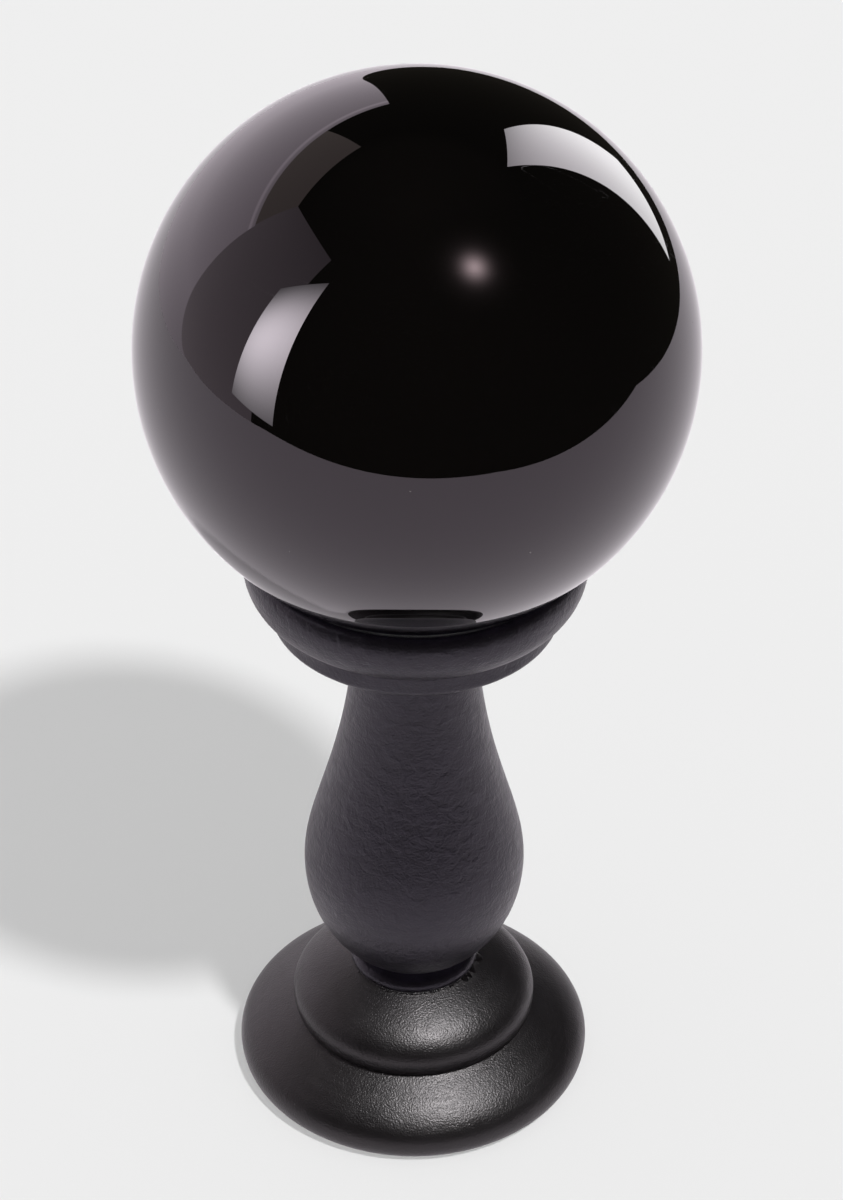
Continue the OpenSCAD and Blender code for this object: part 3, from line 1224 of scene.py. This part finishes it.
    def room(self) -> None:
        """Close the studio with a dark surround that glows faintly with painted room light, and hang
        the lamp's small bright head.
        """
        up = np.linspace(-90, 90, 25)[:, None]
        around = np.linspace(-180, 180, 49)[None, :]
        # Painted room light: the surround glows about twice as bright toward the front as at the back,
        # and brighter again toward the top.
        walls = 0.022 + 0.024 * np.sin(np.radians(around / 2)) ** 2
        dark = np.maximum(walls, np.interp(up, [-90, 45, 60, 90], [0.0, 0.0, 0.035, 0.05]))
        self.dome("dim_room_glow", 4.0, dark, "#fff2dd", Seen.GLOSS)
        azimuth, elevation = self.head_from
        axis, side = bearing(azimuth, elevation), bearing(azimuth + 90)
        rise = np.cross(side, axis)
        ring, turn = np.linspace(0.0, 1.0, 30)[:, None], np.linspace(0, 2 * np.pi, 49)[None, :]
        spread = self.head_far * math.tan(math.radians(self.head_wide)) * ring
        offset = spread[..., None] * (np.cos(turn)[..., None] * side + np.sin(turn)[..., None] * rise)
        reach = np.degrees(np.arctan(spread / self.head_far))
        glow = 5.3 * np.exp(-((reach / 3.9) ** 1.8)) + 0.3 * np.exp(-((reach / 8.5) ** 2))
        glow = np.broadcast_to(glow * np.clip((self.head_wide - reach) / 6, 0, 1), offset.shape[:2])
        self.lamp_head(self.head_far * axis + offset, glow)

    def lamp_head(self, points: Array, glow: Array) -> None:
        """Hang the lamp's head, whose edge fades into the room behind it.

        Args:
            points: the places of its rings, in metres.
            glow: the light of each point.
        """
        head = Board("lamp_head", points + np.array([0, 0, self.ball_middle]), glow, "#ffeeea").build()
        tree = head.data.materials[0].node_tree
        out = next(n for n in tree.nodes if n.type == "OUTPUT_MATERIAL")
        lit = next(n for n in tree.nodes if n.type == "EMISSION")
        clear = node(tree, "ShaderNodeBsdfTransparent")
        both = node(tree, "ShaderNodeAddShader", {0: lit.outputs[0], 1: clear.outputs[0]})
        tree.links.new(both.outputs[0], out.inputs["Surface"])

    def lights(self) -> None:
        """Light the room evenly and from the lamp's direction."""
        world = bpy.data.worlds.new("soft_room_light")
        bpy.context.scene.world = world
        world.use_nodes = True
        world.node_tree.nodes.clear()
        sky = node(world.node_tree, "ShaderNodeBackground",
                   {"Color": (1.0, 1.0, 1.0, 1.0), "Strength": self.ambient})
        node(world.node_tree, "ShaderNodeOutputWorld", {"Surface": sky.outputs[0]})
        lamp = self.sun("round_lamp", self.lamp_power, self.lamp_spread, self.lamp_from)
        lamp.visible_glossy = False
        fill = self.sun("even_fill", self.fill_power, 1.0, (0.0, 90.0))
        fill.visible_glossy, fill.data.use_shadow = False, False
        sheen = self.sun("overhead_lamp", self.overhead_power, self.overhead_spread,
                         self.overhead_from)
        sheen.visible_diffuse = False
        foot = gather("foot_pieces", ("turned_foot", "glue_line"))
        sheen.light_linking.receiver_collection = foot
        sheen.light_linking.blocker_collection = foot

    def sun(self, name: str, power: float, spread: float,
            source: tuple[float, float]) -> bpy.types.Object:
        """Hang a distant lamp.

        Args:
            name: its name.
            power: light that it gives a face turned to it, in watts a square metre.
            spread: the angle that it fills, in degrees.
            source: azimuth and elevation that its light comes from, in degrees.

        Returns:
            The lamp.
        """
        lamp = bpy.data.lights.new(name, "SUN")
        lamp.energy, lamp.angle = power, math.radians(spread)
        hung = bpy.data.objects.new(name, lamp)
        bpy.context.scene.collection.objects.link(hung)
        azimuth, elevation = source
        hung.rotation_euler = (math.radians(90 - elevation), 0.0, math.radians(180 - azimuth))
        return hung


@dataclass
class Viewpoint:
    """The camera."""

    place: tuple[float, float, float] = (0.0011, -0.5197, 0.49765)
    tilt: float = 53.39
    roll: float = 0.38
    lens: float = 105.0
    sensor: float = 36.0

    def build(self) -> None:
        """Set up the camera and make it the scene's own."""
        camera = bpy.data.cameras.new("camera")
        camera.lens, camera.sensor_width, camera.sensor_fit = self.lens, self.sensor, "AUTO"
        camera.clip_start, camera.clip_end = 0.01, 50.0
        held = bpy.data.objects.new("camera", camera)
        bpy.context.scene.collection.objects.link(held)
        held.location = self.place
        lean = Matrix.Rotation(math.radians(self.tilt), 3, "X")
        turn = Matrix.Rotation(math.radians(self.roll), 3, "Z")
        held.rotation_euler = (lean @ turn).to_euler()
        bpy.context.scene.camera = held


def main() -> None:
    """Build the pieces, the studio and the camera."""
    logging.basicConfig(level=logging.INFO, format="%(name)s: %(message)s")
    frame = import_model()
    bpy.context.scene.view_settings.view_transform = "Standard"

    levels = Levels.from_frame()
    seat = Seat(levels)
    paint = SatinLacquer("satin_lacquer_sprayed_beech").material()
    heavy_paint = SatinLacquer("satin_lacquer_sprayed_thick", colour="#0c0a0c", thin="#131113",
                               cast="#fbf6f8", smooth=0.33, matt=0.41, peel_mm=0.34,
                               peel_height=0.080, wave_mm=5.5, wave_height=0.10,
                               ring_height=0.010).material()
    felt = WoolFelt("pressed_wool_felt").material()

    GlassBall(levels, SmokyGlass("smoky_lead_crystal_polished").material()).build()
    TurnedCup(levels, seat, paint).build()
    SeatFelt(seat, felt).build()
    TurnedStem(levels, paint).build()
    TurnedFoot(levels, heavy_paint).build()
    GlueLine(levels, heavy_paint).build()
    FootFelt(levels, felt).build()
    Screws(frame["nodes"], ZincSteel("zinc_plated_steel_cold_headed").material()).build()

    Studio().build()
    Viewpoint().build()


if __name__ == "__main__":
    main()
